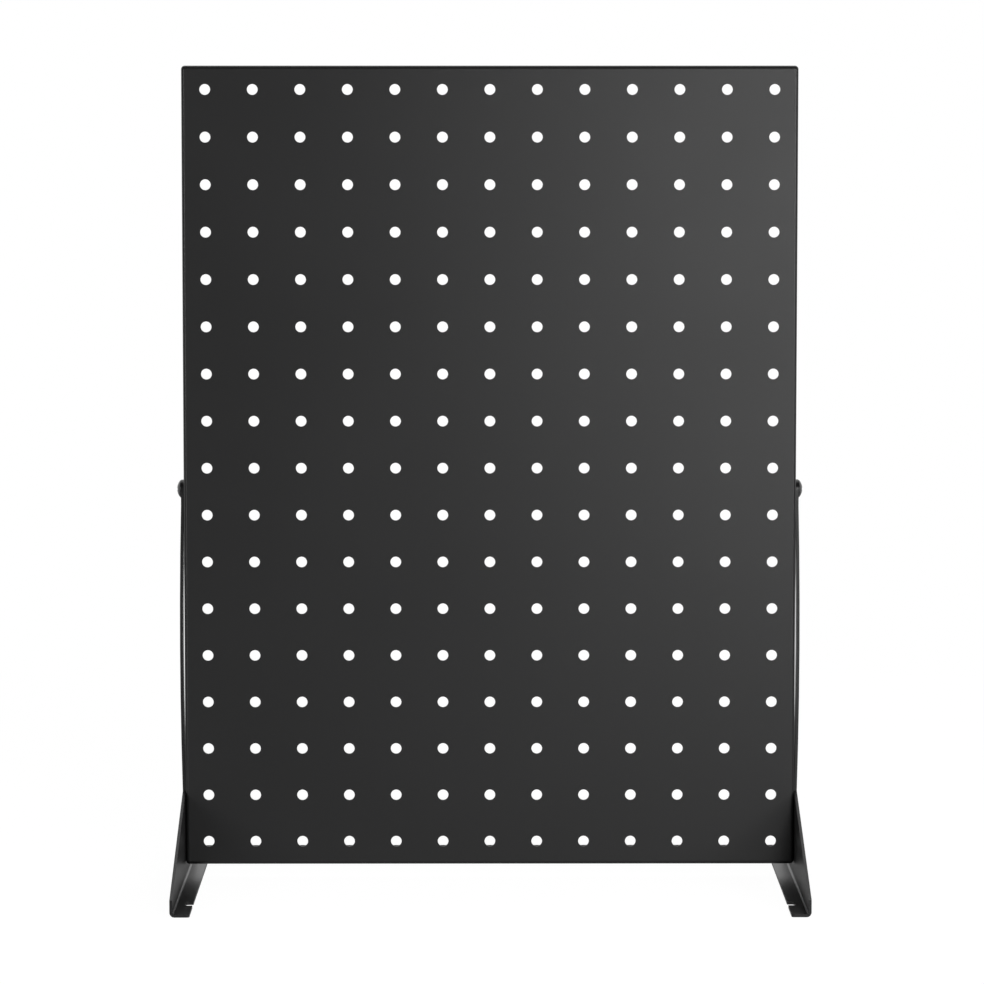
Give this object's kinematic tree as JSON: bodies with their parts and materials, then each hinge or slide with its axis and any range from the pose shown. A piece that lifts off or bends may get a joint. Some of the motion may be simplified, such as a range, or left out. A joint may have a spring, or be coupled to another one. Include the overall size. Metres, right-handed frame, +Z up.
{
  "type": "desktop pegboard",
  "caption": "Free-standing steel pegboard for a desk: a shallow folded, perforated tray held upright between two folded sheet legs, and able to lean back.",
  "frame": {"origin": "on the desk, midway between the legs and between their front and rear tips", "axes": "+Z up, +X to the viewer's right along the pivot axis, the tray's face looks along -Y"},
  "size_m": [0.338, 0.2016, 0.4405],
  "materials": {
    "panel_coat": "satin black powder coat, fine grain",
    "leg_coat": "satin black powder coat, fine grain",
    "screw_steel": "black oxide steel",
    "washer_steel": "zinc plated steel",
    "nut_steel": "zinc plated steel"
  },
  "bodies": {
    "left_leg": {"left_leg": "leg_coat"},
    "panel": {"panel": "panel_coat", "left_pivot_screw": "screw_steel", "left_pivot_washer": "washer_steel", "left_pivot_nut": "nut_steel", "right_pivot_screw": "screw_steel", "right_pivot_washer": "washer_steel", "right_pivot_nut": "nut_steel"},
    "right_leg": {"right_leg": "leg_coat"}
  },
  "joints": [
    {"name": "tilt", "type": "hinge", "parent": "left_leg", "child": "panel", "pos_m": [-0.16595, 0.0158, 0.2128], "axis": [-1, 0, 0], "range_deg": [0, 20]},
    {"name": "right_leg_pivot", "type": "hinge", "parent": "panel", "child": "right_leg", "pos_m": [0.16595, 0.0158, 0.2128], "axis": [1, 0, 0], "range_deg": [0, 20]}
  ],
  "couplings": [
    {"joint": "right_leg_pivot", "follows": "tilt", "ratio": 1}
  ]
}
